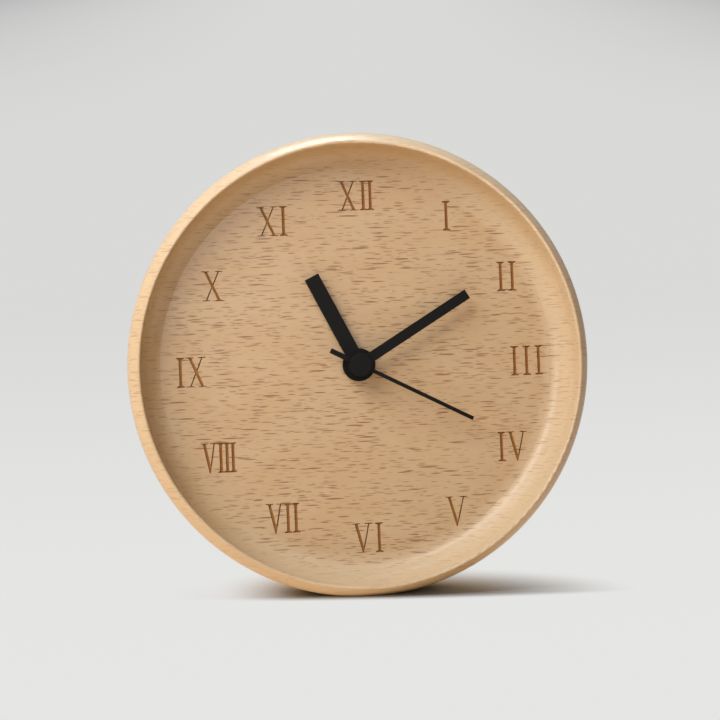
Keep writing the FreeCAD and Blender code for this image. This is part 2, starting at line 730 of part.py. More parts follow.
def middle_plate():
    """Plate behind the centre wheel that carries the train and the stator."""
    body = new_body("train_plate")
    pad(body, "plate_back_z", "plate_thickness",
        [(rectangle, "-plate_half", "plate_half", "partition_y + plate_clearance", "plate_top")])
    stands = [(circle, x, "rotor_y", "post_radius") for x in ("-stator_post_x", "stator_post_x")]
    pad(body, "stator_front_z", "stator_stand", stands)
    pins = [(circle, x, "rotor_y", "stator_pin_radius") for x in ("-stator_post_x", "stator_post_x")]
    pad(body, "stator_back_z", "plate_back_z - stator_back_z", pins)
    pocket(body, "plate_front_z", "plate_thickness", at_posts("post_pin_radius"))
    pocket(body, "plate_front_z", "plate_thickness",
           [(circle, "0", "0", "second_arbor_radius + pivot_clearance"),
            (circle, "third_distance", "0", "third_arbor_radius + pivot_clearance"),
            (circle, "-reverse_distance", "0", "reverse_arbor_radius + pivot_clearance"),
            (circle, "0", "intermediate_y", "intermediate_arbor_radius + pivot_clearance"),
            (circle, "0", "rotor_y", "rotor_arbor_radius + pivot_clearance")])
    finish(body, "middle_plate")


# Toothed wheels

def toothed(name, form, teeth, radius, bottom, top, place=("0", "0"), facing=0, gap_faces=False, bore=None):
    """Toothed wheel with straight flanks; a tooth, or a gap, faces the given direction."""
    count, pitch_radius = int(number(teeth)), number(radius)
    module = 2 * pitch_radius / count
    tip = pitch_radius + number(form + "_tip_share") * module
    root = pitch_radius - number("root_share") * module
    widths = [(root, -number(form + "_base_share")), (tip, -number(form + "_top_share")),
              (tip, number(form + "_top_share")), (root, number(form + "_base_share"))]
    pitch = math.radians(360 / count)
    start = math.radians(facing) + (pitch / 2 if gap_faces else 0)
    corners = []
    for tooth in range(count):
        for reach, share in widths:
            angle = start + pitch * (tooth + share / 2)
            corners.append(FreeCAD.Vector(reach * math.cos(angle), reach * math.sin(angle), 0))
    wires = [Part.makePolygon(corners + corners[:1])]
    if bore:
        wires.append(Part.Wire(Part.makeCircle(number(bore))))
    thickness = number(f"({top}) - ({bottom})")
    made = doc.addObject("Part::Feature", name)
    made.Shape = Part.Face(wires, "Part::FaceMakerCheese").extrude(FreeCAD.Vector(0, 0, thickness))
    bind(made, Placement__Base__x=place[0], Placement__Base__y=place[1], Placement__Base__z=bottom)
    return made


def share_of_distance(distance, own, other):
    """Pitch radius of the wheel with own teeth, on an arbor at distance from the other's."""
    return f"{distance} * {own} / ({own} + {other})"


def second_wheel():
    """Wheel and pinion of the second arbor, turned once a minute."""
    ring = toothed("second_ring", "wheel", "second_teeth",
                   share_of_distance("intermediate_distance", "second_teeth", "intermediate_leaves"),
                   "second_wheel_z", "second_wheel_z + wheel_thickness", facing=90, gap_faces=True,
                   bore="second_arbor_radius")
    pinion = toothed("second_pinion", "pinion", "second_leaves",
                     share_of_distance("third_distance", "second_leaves", "third_teeth"),
                     "second_wheel_z + wheel_thickness", "third_wheel_z + wheel_thickness + pinion_overlap",
                     bore="second_arbor_radius")
    finish(fuse("second_wheel_blank", [ring, pinion]), "second_wheel")


def second_arbor():
    """Steel arbor from the rear bearing through every pipe to the second hand."""
    body = new_body("second_arbor_body")
    pad(body, "arbor_end_z", "second_z - arbor_end_z", [(circle, "0", "0", "second_arbor_radius")])
    finish(body, "second_arbor")


def third_wheel():
    place = ("third_distance", "0")
    ring = toothed("third_ring", "wheel", "third_teeth",
                   share_of_distance("third_distance", "third_teeth", "second_leaves"),
                   "third_wheel_z", "third_wheel_z + wheel_thickness", place, 180, True)
    pinion = toothed("third_pinion", "pinion", "third_leaves",
                     share_of_distance("third_distance", "third_leaves", "centre_teeth"),
                     "centre_wheel_z - pinion_overlap", "centre_wheel_z + wheel_thickness + pinion_overlap",
                     place, 180)
    arbor = cylinder("third_arbor", "third_arbor_radius", "arbor_end_z", "front_pivot_z", *place)
    finish(fuse("third_wheel_blank", [ring, pinion, arbor]), "third_wheel")


def intermediate_wheel():
    place = ("0", "intermediate_y")
    ring = toothed("intermediate_ring", "wheel", "intermediate_teeth",
                   share_of_distance("rotor_distance", "intermediate_teeth", "rotor_teeth"),
                   "intermediate_wheel_z", "intermediate_wheel_z + wheel_thickness", place, 90, True)
    pinion = toothed("intermediate_pinion", "pinion", "intermediate_leaves",
                     share_of_distance("intermediate_distance", "intermediate_leaves", "second_teeth"),
                     "intermediate_wheel_z", "second_wheel_z + wheel_thickness + pinion_overlap", place, -90)
    arbor = cylinder("intermediate_arbor", "intermediate_arbor_radius", "arbor_end_z", "plate_pivot_z",
                     *place)
    finish(fuse("intermediate_wheel_blank", [ring, pinion, arbor]), "intermediate_wheel")


def rotor():
    """Moulded rotor pinion with the ring magnet pressed on its sleeve."""
    place = ("0", "rotor_y")
    magnet_front = "magnet_z + magnet_length"
    ring = toothed("rotor_ring", "pinion", "rotor_teeth",
                   share_of_distance("rotor_distance", "rotor_teeth", "intermediate_teeth"),
                   "intermediate_wheel_z - pinion_overlap",
                   "intermediate_wheel_z + wheel_thickness + pinion_overlap", place, -90)
    sleeve = cylinder("rotor_sleeve", "rotor_sleeve_radius", "intermediate_wheel_z", magnet_front, *place)
    arbor = cylinder("rotor_arbor", "rotor_arbor_radius", "arbor_end_z", "plate_pivot_z", *place)
    finish(fuse("rotor_blank", [ring, sleeve, arbor]), "rotor_pinion")
    body = new_body("magnet_ring")
    pad(body, "magnet_z", "magnet_length",
        [(circle, *place, "magnet_radius"), (circle, *place, "rotor_sleeve_radius")])
    finish(body, "rotor_magnet")


def minute_parts():
    """Centre wheel held on the minute pipe by the clutch spring, so that the hands can be set."""
    ring = toothed("centre_ring", "wheel", "centre_teeth",
                   share_of_distance("third_distance", "centre_teeth", "third_leaves"),
                   "centre_wheel_z", "centre_wheel_z + wheel_thickness", facing=0, gap_faces=True,
                   bore="minute_pipe_radius")
    finish(group("centre_wheel_whole", [ring]), "centre_wheel")
    leaves = toothed("cannon_ring", "pinion", "cannon_leaves",
                     share_of_distance("reverse_distance", "cannon_leaves", "reverse_teeth"),
                     "reverse_wheel_z", "reverse_wheel_z + wheel_thickness + pinion_overlap", facing=180)
    tube = cylinder("minute_tube", "minute_pipe_radius", "pipe_end_z", "minute_top_z")
    flange = cylinder("minute_flange", "pipe_flange_radius", "pipe_end_z", "centre_wheel_z")
    hole = cylinder("minute_hole", "second_arbor_radius + pipe_clearance", "plate_front_z", "second_z")
    whole = fuse("minute_pipe_blank", [leaves, tube, flange])
    finish(cut("minute_pipe_bored", whole, hole), "minute_pipe")
    body = new_body("clutch_washer")
    pad(body, "centre_wheel_z + wheel_thickness", "level_gap",
        [(circle, "0", "0", "clutch_radius"), (circle, "0", "0", "minute_pipe_radius")])
    finish(body, "clutch_spring")


def reverse_wheel():
    """Wheel and pinion between the minute pipe and the hour wheel; its arbor carries the knob."""
    place = ("-reverse_distance", "0")
    ring = toothed("reverse_ring", "wheel", "reverse_teeth",
                   share_of_distance("reverse_distance", "reverse_teeth", "cannon_leaves"),
                   "reverse_wheel_z", "reverse_wheel_z + wheel_thickness", place, 0, True)
    pinion = toothed("reverse_pinion", "pinion", "reverse_leaves",
                     share_of_distance("reverse_distance", "reverse_leaves", "hour_teeth"),
                     "reverse_wheel_z", "hour_wheel_z + wheel_thickness + pinion_overlap", place)
    arbor = cylinder("reverse_arbor", "reverse_arbor_radius", "knob_back_z + knob_gap", "front_pivot_z",
                     *place)
    finish(fuse("reverse_wheel_blank", [ring, pinion, arbor]), "reverse_wheel")


def hour_wheel():
    ring = toothed("hour_ring", "wheel", "hour_teeth",
                   share_of_distance("reverse_distance", "hour_teeth", "reverse_leaves"),
                   "hour_wheel_z", "hour_wheel_z + wheel_thickness", facing=180, gap_faces=True)
    tube = cylinder("hour_tube", "hour_pipe_radius", "hour_wheel_z", "hour_top_z")
    hole = cylinder("hour_hole", "minute_pipe_radius + pipe_clearance", "reverse_wheel_z", "minute_z")
    finish(cut("hour_wheel_bored", fuse("hour_wheel_blank", [ring, tube]), hole), "hour_wheel")


def setting_knob():
    """Knob with a notched rim, pressed on the end of the reverse arbor."""
    body = new_body("knob")
    pad(body, "knob_back_z", "knob_height", [(circle, "-reverse_distance", "0", "knob_radius")])
    pocket(body, "knob_front_z", "knob_height - knob_gap",
           [(circle, "-reverse_distance", "0", "reverse_arbor_radius")])
    sketch = new_sketch(body, "XY_Plane", "knob_front_z", shift="-reverse_distance")
    circle(sketch, "knob_radius", "0", "notch_radius")
    notch = feature(body, "Pocket", sketch, Length="2 * knob_height")
    around = body.newObject("PartDesign::PolarPattern", "knob_notch_ring")
    around.Originals = [notch]
    around.Axis = (sketch, ["N_Axis"])
    around.Angle = 360
    bind(around, Occurrences="knob_notches")
    body.Tip = around
    finish(body, "setting_knob")


# Stepping motor, circuit board and cell

def motor():
    body = new_body("stator_plate")
    low, high = "rotor_y - stator_bar / 2", "rotor_y + stator_bar / 2"
    tip = "coil_y + core_width / 2"
    inner = "stator_half - stator_arm"
    sketch = new_sketch(body, "XY_Plane", "stator_back_z")
    outline(sketch, [("-stator_half", low), ("stator_half", low), ("stator_half", tip), (inner, tip),
                     (inner, high), ("stator_arm - stator_half", high), ("stator_arm - stator_half", tip),
                     ("-stator_half", tip)])
    feature(body, "Pad", sketch, Length="stator_thickness")
    pocket(body, "stator_front_z", "stator_thickness",
           [(circle, "0", "rotor_y", "magnet_radius + stator_air"),
            (circle, "-stator_post_x", "rotor_y", "stator_pin_radius"),
            (circle, "stator_post_x", "rotor_y", "stator_pin_radius")])
    finish(body, "stator")
    core_back = "stator_back_z - stator_thickness"
    sides = ("coil_y - core_width / 2", "coil_y + core_width / 2")
    bar = new_body("core_bar")
    pad(bar, core_back, "stator_thickness", [(rectangle, "-stator_half", "stator_half", *sides)])
    finish(bar, "coil_core")
    tube = cross_bar("bobbin_tube", "bobbin_radius", "-bobbin_half", "bobbin_half", "coil_y", "core_z")
    ends = ("bobbin_flange - bobbin_half", "bobbin_half - bobbin_flange")
    flanges = [cross_bar("bobbin_left", "bobbin_flange_radius", "-bobbin_half", ends[0], "coil_y", "core_z"),
               cross_bar("bobbin_right", "bobbin_flange_radius", ends[1], "bobbin_half", "coil_y", "core_z")]
    slot = block("bobbin_slot", "-stator_half", "stator_half", *sides, core_back, "stator_back_z")
    finish(cut("bobbin_slotted", fuse("bobbin_blank", [tube] + flanges), slot), "coil_bobbin")
    wire = cross_bar("winding_outside", "winding_radius", *ends, "coil_y", "core_z")
    hollow = cross_bar("winding_inside", "bobbin_radius", *ends, "coil_y", "core_z")
    finish(cut("winding_ring", wire, hollow), "coil_winding")


def electronics():
    board = new_body("board")
    middle = "board_bottom + board_height / 2"
    edges = ("-board_half", "board_half", "board_bottom", "board_bottom + board_height")
    pad(board, "board_back_z", "board_thickness", [(rounded, *edges, "inner_corner")])
    finish(board, "circuit_board")
    blob = new_body("chip_blob")
    pad(blob, "board_back_z - chip_height / 2", "chip_height / 2",
        [(circle, "chip_x", middle, "chip_radius")])
    pad(blob, "board_back_z - chip_height", "chip_height / 2",
        [(circle, "chip_x", middle, "chip_radius * 3 / 4")])
    finish(blob, "control_chip")
    can = cross_bar("crystal_can", "crystal_radius", "-crystal_x - crystal_length", "-crystal_x",
                    middle, "board_back_z - crystal_radius")
    base = cross_bar("crystal_base", "crystal_radius * 9 / 10", "-crystal_x",
                     "crystal_radius / 2 - crystal_x", middle, "board_back_z - crystal_radius")
    finish(fuse("crystal", [can, base]), "quartz_crystal")


def contact(side, label):
    """Bent leaf against the cell's end, with a strip along the wall up to the circuit board."""
    wall, face = f"{side} * inner_half", f"{side} * board_half"
    tip = f"{side} * (cell_length / 2 + contact_touch)"
    back_tip = f"{side} * (cell_length / 2 + contact_touch + contact_thickness)"
    leaf = new_body(label + "_leaf")
    sketch = new_sketch(leaf, "XY_Plane", "cell_z - leaf_width / 2")
    corners = [(face, "cell_y - leaf_half"), (tip, "cell_y - leaf_tip"), (tip, "cell_y + leaf_tip"),
               (face, "cell_y + leaf_half"), (wall, "cell_y + leaf_half"),
               (face, "cell_y + leaf_half - leaf_tip"),
               (back_tip, "cell_y + leaf_tip / 2"), (back_tip, "cell_y - leaf_tip / 2"),
               (face, "cell_y - leaf_half + leaf_tip"), (wall, "cell_y - leaf_half")]
    outline(sketch, corners)
    feature(leaf, "Pad", sketch, Length="leaf_width")
    near, far = (wall, face) if side < 0 else (face, wall)
    backing = block(label + "_backing", near, far, "cell_y - leaf_half", "cell_y + leaf_half",
                    "cell_z - leaf_width / 2", "cell_z + leaf_width / 2")
    strip = block(label + "_strip", near, far, "cell_y - leaf_half", "board_bottom + board_height / 2",
                  "board_back_z - strip_width", "board_back_z + board_thickness")
    finish(fuse(label + "_blank", [leaf, backing, strip]), label)


def battery_cell():
    """Round cell that lies across the lower part of the housing, its nub to the right."""
    half = "cell_length / 2"
    shoulder = f"{half} - nub_length"
    jacket = cross_bar("cell_jacket", "cell_radius", f"cell_crimp - {half}", f"{shoulder} - cell_crimp",
                       "cell_y", "cell_z")
    can = cross_bar("cell_can", "cell_radius - cell_shoulder", f"-{half}", shoulder, "cell_y", "cell_z")
    nub = cross_bar("cell_nub", "nub_radius", f"{shoulder} - nub_length", half, "cell_y", "cell_z")
    finish(fuse("cell", [jacket, can, nub]), "battery_cell")


# Hands

def hand(label, bottom, thickness, hub, collar, collar_height, bore, blades, angle):
    """Flat stamped hand with a pressed collar, turned clockwise to the time that it shows."""
    body = new_body(label + "_blank")
    height = f"{collar_height} + {thickness}"
    pad(body, f"{bottom} - {collar_height}", height, [(circle, "0", "0", collar)])
    pad(body, bottom, thickness, [(circle, "0", "0", hub)])
    for blade in blades:
        pad(body, bottom, thickness, [(rectangle, *blade)], turn=f"360 - {angle}")
    pocket(body, f"{bottom} + {thickness}", f"2 * ({height})", [(circle, "0", "0", bore)])
    finish(body, label)


def hands():
    hand("hour_hand", "hour_hand_rise", "hour_thickness", "hour_hub_radius",
         "hour_collar_radius", "hour_collar_height", "hour_pipe_radius",
         [("-hour_width / 2", "hour_width / 2", "0", "hour_length")], "hour_angle")
    hand("minute_hand", "minute_z", "minute_thickness", "minute_hub_radius",
         "minute_collar_radius", "minute_collar_height", "minute_pipe_radius",
         [("-minute_width / 2", "minute_width / 2", "0", "minute_length")], "minute_angle")
    hand("second_hand", "second_z", "second_thickness", "second_hub_radius",
         "second_tube_radius", "second_tube_height", "second_arbor_radius",
         [("-second_width / 2", "second_width / 2", "0", "second_length"),
          ("-second_tail_width / 2", "second_tail_width / 2", "-second_tail", "0")], "second_angle")


def hub_cap():
    """Round cap over the end of the second arbor."""
    body = new_body("cap")
    sketch = new_sketch(body, "XZ_Plane")
    top = "second_top_z + cap_height"
    outline(sketch, [("0", "second_top_z"), ("cap_radius", "second_top_z"),
                     ("cap_radius", f"{top} - cap_round"), ("cap_radius - cap_round", top), ("0", top)],
            {2: ("cap_round", 1)})
    turned = body.newObject("PartDesign::Revolution", "cap_turned")
    turned.Profile = sketch
    turned.ReferenceAxis = (sketch, ["V_Axis"])
    turned.Angle = 360
    finish(body, "hub_cap")


# Build, check and write

def check_document():
    """Stop on any failed object, on a cut that removed nothing and on an unsound piece."""
    for thing in doc.Objects:
        if "Invalid" in thing.State or "Error" in thing.State:
            raise RuntimeError(f"{thing.Name} failed: {thing.State}")
        if thing.isDerivedFrom("PartDesign::Pocket"):
            before = thing.BaseFeature.Shape.Volume
            if not thing.Shape.Volume < before:
                raise RuntimeError(f"{thing.Name} cut nothing")
    for node in nodes:
        if node.Shape.isNull() or not node.Shape.isValid():
            raise RuntimeError(f"{node.Label} has no sound shape")


def write_parts():
    os.makedirs("parts", exist_ok=True)
    for node in nodes:
        node.Shape.exportStep(f"parts/{node.Label}.step")
        solids = len(node.Shape.Solids)
        print(f"{node.Label}: {solids} solid(s), {node.Shape.Volume:.2f} mm3")


def main():
    fill_sheet()
    wooden_case()
    front_housing()
    rear_housing()
    mounting_screws()
    middle_plate()
    second_wheel()
    second_arbor()
    third_wheel()
    intermediate_wheel()
    rotor()
    minute_parts()
    reverse_wheel()
    hour_wheel()
    setting_knob()
    motor()
    electronics()
    contact(1, "positive_contact")
    contact(-1, "negative_contact")
    battery_cell()
    hands()
    hub_cap()
    doc.recompute()
    check_document()
    write_parts()


main()
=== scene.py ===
"""Finishes, light and camera for a turned wooden desk clock that leans back on its rim."""
import json
import math

import bmesh
import bpy
from mathutils import Matrix, Vector


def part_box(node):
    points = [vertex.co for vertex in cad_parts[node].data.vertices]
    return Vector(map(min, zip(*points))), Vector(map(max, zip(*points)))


bl_info = {
    "name": "Wooden Desk Clock",
    "version": (1, 0, 0),
    "blender": (4, 5, 0),
    "location": "View3D > Sidebar > Desk Clock",
    "description": "Finishes the pieces of a turned wooden desk clock and sets its stage",
    "category": "Object",
}

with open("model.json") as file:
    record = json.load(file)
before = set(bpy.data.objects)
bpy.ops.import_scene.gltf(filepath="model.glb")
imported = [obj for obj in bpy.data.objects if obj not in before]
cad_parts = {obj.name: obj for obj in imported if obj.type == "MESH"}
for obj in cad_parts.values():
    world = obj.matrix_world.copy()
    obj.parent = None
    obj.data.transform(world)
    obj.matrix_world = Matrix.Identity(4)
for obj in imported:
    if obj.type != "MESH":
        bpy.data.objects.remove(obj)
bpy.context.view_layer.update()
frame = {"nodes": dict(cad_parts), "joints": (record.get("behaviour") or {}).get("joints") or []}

MILLIMETRE = 0.001
MICRON = 0.000001

hand_spin = next(joint for joint in frame["joints"] if joint["name"] == "second_hand_spin")
dial_centre = Vector(hand_spin["pos_m"])
arbor_direction = Vector(hand_spin["axis"])
lean = math.atan2(-arbor_direction.z, arbor_direction.y)
up_direction = Vector((0.0, math.sin(lean), math.cos(lean)))
case_low, case_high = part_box("wooden_case")
case_radius = (case_high.x - case_low.x) / 2 / MILLIMETRE
cell_low, cell_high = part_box("battery_cell")

# Start and full reach of bands on the turned case, in millimetres in from its outside
LIP_FLANK = (3.0, 0.5)
CREST = (2.6, 3.4)
NUMERALS_OUTSIDE = (8.5, 9.0)
# The cove band carries the paler rim tone, partly the wood's own and partly a painted sheen of the lit rim
RIM_TONE_AND_SHEEN = (11.5, 9.0)
FEWER_RAYS = (11.0, 4.0)
NUMERALS_INSIDE = (30.0, 29.5)

# Start and full reach of the scorching behind the face of the dial, in millimetres
NUMERAL_CUT = (0.02, 0.13)
BELOW_NUMERALS = (2.0, 1.5)

# Start and full reach of the painted shade at the upper left, where the wall in the key lamp's shadow keeps
# the less pale wood, in millimetres from the middle
SHADED_SIDE_REACH = (-20.0, 30.0)

# Cells that hold one ray each, in millimetres along, across and into the grain
LONG_RAY_CELL = (5.0, 1.05, 4.4)
SHORT_RAY_CELL = (3.3, 0.80, 4.0)

# Shift of the short rays' cells, and the sizes of short rays as shares of long ones
SHORT_RAY_SHIFT = (13.7, 5.3, 2.9)
SHORT_RAY_SHARES = (0.62, 0.85, 1.0)

# Waves of each pattern in a millimetre to the right, up the dial and toward the front
DRIFT_WAVES = (0.03, 0.06, 0.05)
BAND_WAVES = (0.02, 0.16, 0.12)
PATCH_WAVES = (0.06, 0.10, 0.1)
PORE_WAVES = (1.1, 9.0, 2.2)
FIBRE_WAVES = (0.28, 3.2, 1.2)
CHAR_WAVES = (1.5, 0.8, 1.5)
SCUFF_WAVES = (0.3, 1.6, 1.6)
WIRE_LAYER_WAVES = (7.0, 0.4, 0.4)
TRACK_WAVES = (0.25, 0.9, 0.1)

# Shifts that keep two patterns from lying on each other
PATCH_SHIFT = (9.0, 4.0, 1.0)
TRACK_SHIFT = (3.0, 1.0, 0.0)

# Print on the cell, in millimetres from its ends
PRINT_EDGE = 0.1
JACKET_START = 0.6
JACKET_END = 2.0
BAND_WIDTH = 9.9
LINE_START = 10.7
LINE_END = 10.9

# Distance from one turn of the wire to the next, in millimetres
WIRE_PITCH = 0.14

# Rounding of edges, in metres
MOULDED_EDGE = 0.15 * MILLIMETRE
METAL_EDGE = 0.08 * MILLIMETRE

# Middle and reach of the shadow that the floor keeps round the foot, in metres
SHADOW_RIGHT = 0.002
SHADOW_FRONT = case_low.y + 3.35 * MILLIMETRE
# Reach of the painted shadow that darkens the floor's own colour round the foot, in metres
PAINTED_SHADOW_REACH = 0.012
SHADOW_REACH = (0.009, 0.028)
DARK_REACH = (0.007, 0.02)

# Weights of a distance to each side of that middle, and its slant for each metre to the right
WEIGHT_RIGHT = 0.4
WEIGHT_LEFT = -0.46
WEIGHT_FRONT = -4.2
SHADOW_SLANT = 0.12

# Start and full reach of the painted shade that darkens the floor behind the clock and in the far corners,
# in metres
FLOOR_BEHIND = (-0.1, 0.5)
FLOOR_CORNERS = (0.5, 3.0)

# How far the middle between the corners runs to the right for each metre back
CORNER_SLANT = 0.14

# Start and full reach of the weaker bounce at the right, in metres
BOUNCE_FALL = (-0.15, 0.2)

# Distance of the lamps from the dial, in metres, and the directions from it to them
LAMP_DISTANCE = 0.75
KEY_DIRECTION = (-0.54, -0.39, 0.735)
SHEEN_DIRECTION = (-0.20, -0.86, 0.47)
RIM_DIRECTION = (-0.05, 0.27, 0.96)
FLOOR_LAMP_DIRECTION = (-0.72, 0.28, 0.66)


class Socket:
    """One output of a node, joined to others by Python's own operators."""

    def __init__(self, nodes, output):
        self.nodes = nodes
        self.output = output

    def math(self, operation, *values, clamp=False):
        """Add one Math node."""
        settings = {"operation": operation, "use_clamp": clamp}
        return self.nodes.node("Math", settings, dict(enumerate(values)))

    def __add__(self, other):
        return self.math("ADD", self, other)

    def __radd__(self, other):
        return self.math("ADD", other, self)

    def __sub__(self, other):
        return self.math("SUBTRACT", self, other)

    def __rsub__(self, other):
        return self.math("SUBTRACT", other, self)

    def __mul__(self, other):
        return self.math("MULTIPLY", self, other)

    def __rmul__(self, other):
        return self.math("MULTIPLY", other, self)

    def __truediv__(self, other):
        return self.math("DIVIDE", self, other)

    def __pow__(self, other):
        return self.math("POWER", self, other)

    def __abs__(self):
        return self.math("ABSOLUTE", self)

    def clamped(self):
        """Keep the value from 0 to 1."""
        return self.math("ADD", self, 0.0, clamp=True)

    def rise(self, start, end):
        """Go smoothly from 0 at start to 1 at end, which may be lower than start."""
        settings = {"interpolation_type": "SMOOTHSTEP"}
        values = {"Value": self, "From Min": start, "From Max": end}
        return self.nodes.node("MapRange", settings, values)


class Nodes:
    """The nodes of one material or of the sky."""

    def __init__(self, tree):
        self.tree = tree
        self.tree.nodes.clear()

    def node(self, kind, settings, values, output=0):
        """Add one node with its settings, and the values or links of its sockets."""
        node = self.tree.nodes.new("ShaderNode" + kind)
        for name, value in settings.items():
            setattr(node, name, value)
        for key, value in values.items():
            if isinstance(value, Socket):
                self.tree.links.new(value.output, node.inputs[key])
            else:
                node.inputs[key].default_value = value
        return Socket(self, node.outputs[output]) if node.outputs else None

    def close(self, shader, kind="OutputMaterial"):
        """Join a shader to the output."""
        self.node(kind, {}, {"Surface": shader})

    def parts(self, vector):
        """Split a vector into its three parts."""
        return [self.node("SeparateXYZ", {}, {0: vector}, axis) for axis in range(3)]

    def stretched(self, vector, scale, offset=(0.0, 0.0, 0.0)):
        """Scale and shift coordinates for a pattern."""
        return self.node("Mapping", {}, {"Vector": vector, "Location": offset, "Scale": scale})

    def noise(self, vector, scale=1.0, detail=2.0, roughness=0.5):
        """Smooth noise from 0 to 1."""
        values = {"Vector": vector, "Scale": scale, "Detail": detail, "Roughness": roughness}
        return self.node("TexNoise", {}, values)

    def blend(self, factor, first, second, mode="MIX"):
        """Mix two colours."""
        settings = {"data_type": "RGBA", "blend_type": mode}
        return self.node("Mix", settings, {0: factor, 6: first, 7: second}, 2)

    def shaded(self, colour, shade):
        """Multiply a colour by a value."""
        grey = self.node("CombineXYZ", {}, {0: shade, 1: shade, 2: shade})
        return self.blend(1.0, colour, grey, "MULTIPLY")

    def looked_at(self):
        """Be 1 for what the camera sees, also by way of gloss or glass."""
        camera, glossy, transmitted = [
            self.node("LightPath", {}, {}, "Is %s Ray" % name)
            for name in ("Camera", "Glossy", "Transmission")
        ]
        return (camera + glossy + transmitted).clamped()


class Finish(Nodes):
    """A surface finish built from nodes on the pieces' own coordinates."""

    def __init__(self, name):
        self.material = bpy.data.materials.new(name)
        self.material.use_nodes = True
        super().__init__(self.material.node_tree)

    def clock_place(self):
        """Coordinates in millimetres: right, up the dial and toward the front."""
        place = self.node("TexCoord", {}, {}, "Object")
        values = {
            "Vector": place,
            "Location": dial_centre,
            "Rotation": (math.pi / 2 - lean, 0.0, 0.0),
            "Scale": (MILLIMETRE, MILLIMETRE, MILLIMETRE),
        }
        return self.node("Mapping", {"vector_type": "TEXTURE"}, values)

    def bump(self, height, depth, normal=None):
        """Turn a height from 0 to 1 into a normal, with the depth in metres."""
        values = {"Distance": depth, "Height": height}
        if normal:
            values["Normal"] = normal
        return self.node("Bump", {}, values)

    def soft_edges(self, radius):
        """Normals that round the piece's edges off."""
        return self.node("Bevel", {"samples": 4}, {"Radius": radius})

    def surface(self, values):
        """Close the finish with one shader."""
        self.close(self.node("BsdfPrincipled", {}, values))
        return self.material


def colour_property(name, description, default):
    """A colour that the user can change."""
    return bpy.props.FloatVectorProperty(
        name=name, description=description, subtype="COLOR", size=4, min=0.0, max=1.0, default=default
    )


def length_property(name, description, default):
    """A length that the user can change."""
    return bpy.props.FloatProperty(
        name=name, description=description, subtype="DISTANCE", unit="LENGTH", precision=4, default=default
    )


def share_property(name, description, default):
    """A share from 0 to 1 that the user can change."""
    return bpy.props.FloatProperty(
        name=name, description=description, subtype="FACTOR", min=0.0, max=1.0, default=default
    )


def power_property(name, description, default):
    """A lamp's power that the user can change."""
    return bpy.props.FloatProperty(
        name=name, description=description, subtype="POWER", unit="POWER", default=default
    )


def angle_property(name, description, degrees):
    """An angle that the user can change."""
    return bpy.props.FloatProperty(
        name=name, description=description, subtype="ANGLE", unit="ROTATION", default=math.radians(degrees)
    )


class DESKCLOCK_PG_case(bpy.types.PropertyGroup):
    """Beech of the turned case"""

    pale: colour_property("Pale Beech", "Lightest tone of the wood", (0.537, 0.391, 0.233, 1.0))
    warm: colour_property("Warm Beech", "Pinkish tone of the wood", (0.52, 0.343, 0.183, 1.0))
    # Rim Beech is partly the wood's own paler rim and partly a painted sheen on the lit cove and lip
    rim: colour_property("Rim Beech", "Paler tone of the cove and the lip", (0.595, 0.45, 0.287, 1.0))
    fleck: colour_property("Ray Fleck", "Colour of the short flecks", (0.21, 0.078, 0.02, 1.0))
    # The numerals blend from Scorched Wood to Burnt Wood partly by painted shade on the walls that face
    # right
    burnt: colour_property("Burnt Wood", "Darkest tone in the numerals", (0.085, 0.027, 0.003, 1.0))
    scorched: colour_property("Scorched Wood", "Lightest tone in the numerals", (0.62, 0.29, 0.07, 1.0))
    fleck_length: length_property("Fleck Length", "Length of a ray along the grain", 0.0052)
    fleck_height: length_property("Fleck Height", "Thickness of a ray on the dial", 0.00036)
    fleck_depth: length_property("Fleck Depth", "Reach of a ray into the dial", 0.004)
    roughness: share_property("Roughness", "Roughness of the sanded wood", 0.44)
    coat: share_property("Wax", "Strength of the wax over the wood", 0.8)


class DESKCLOCK_PG_hands(bpy.types.PropertyGroup):
    """Lacquer of the hands"""

    lacquer: colour_property("Lacquer", "Colour of the matt lacquer", (0.0052, 0.0052, 0.005, 1.0))
    dusty: colour_property("Dusty Lacquer", "Lacquer under fine dust", (0.008, 0.008, 0.0078, 1.0))
    roughness: share_property("Roughness", "Roughness of the lacquer", 0.42)
    edge_radius: length_property("Edge Radius", "Rounding of the pressed edges", 0.00012)


